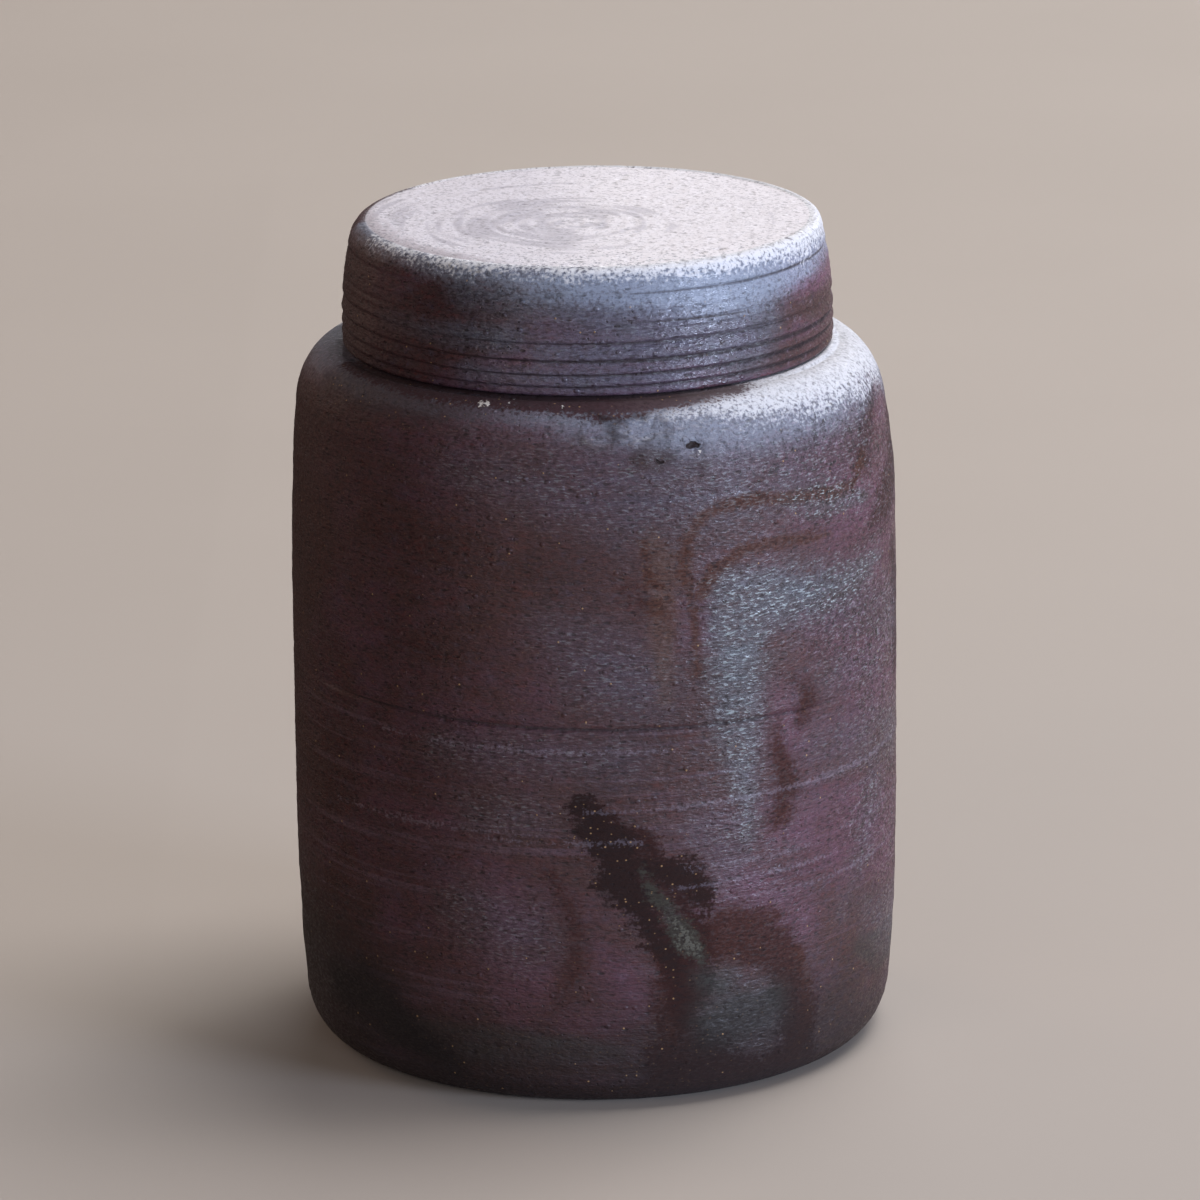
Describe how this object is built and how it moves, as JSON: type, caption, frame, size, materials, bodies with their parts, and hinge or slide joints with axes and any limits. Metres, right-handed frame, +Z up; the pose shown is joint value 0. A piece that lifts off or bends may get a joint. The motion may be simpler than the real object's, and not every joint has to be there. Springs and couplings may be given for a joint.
{
  "type": "tea storage jar",
  "caption": "Unglazed wood-fired stoneware tea jar: upright barrel with rounded heel and shoulder, short inner neck, and a flat-topped cap lid that lifts off.",
  "frame": {"origin": "middle of the jar's foot, on the surface it stands on", "axes": "+Z up along the turned body's axis; the front, with the ash streak, faces -Y; +X is to the right as the front is looked at"},
  "size_m": [0.1, 0.1, 0.138],
  "materials": {
    "bare_stoneware": "unglazed wood-fired stoneware, satin, purple-brown with a cool sheen, ash streaks and green-grey blots, fine grit and wiping marks",
    "ash_dusted_stoneware": "the same stoneware, dusted pale with ash on its flat top and shoulder, throwing ridges round its wall"
  },
  "bodies": {
    "jar": {"jar_body": "bare_stoneware"},
    "lid": {"cap_lid": "ash_dusted_stoneware"}
  },
  "joints": [
    {"name": "lid_lift", "type": "slide", "parent": "jar", "child": "lid", "axis": [0, 0, 1], "range_m": [0, 0.1]}
  ]
}
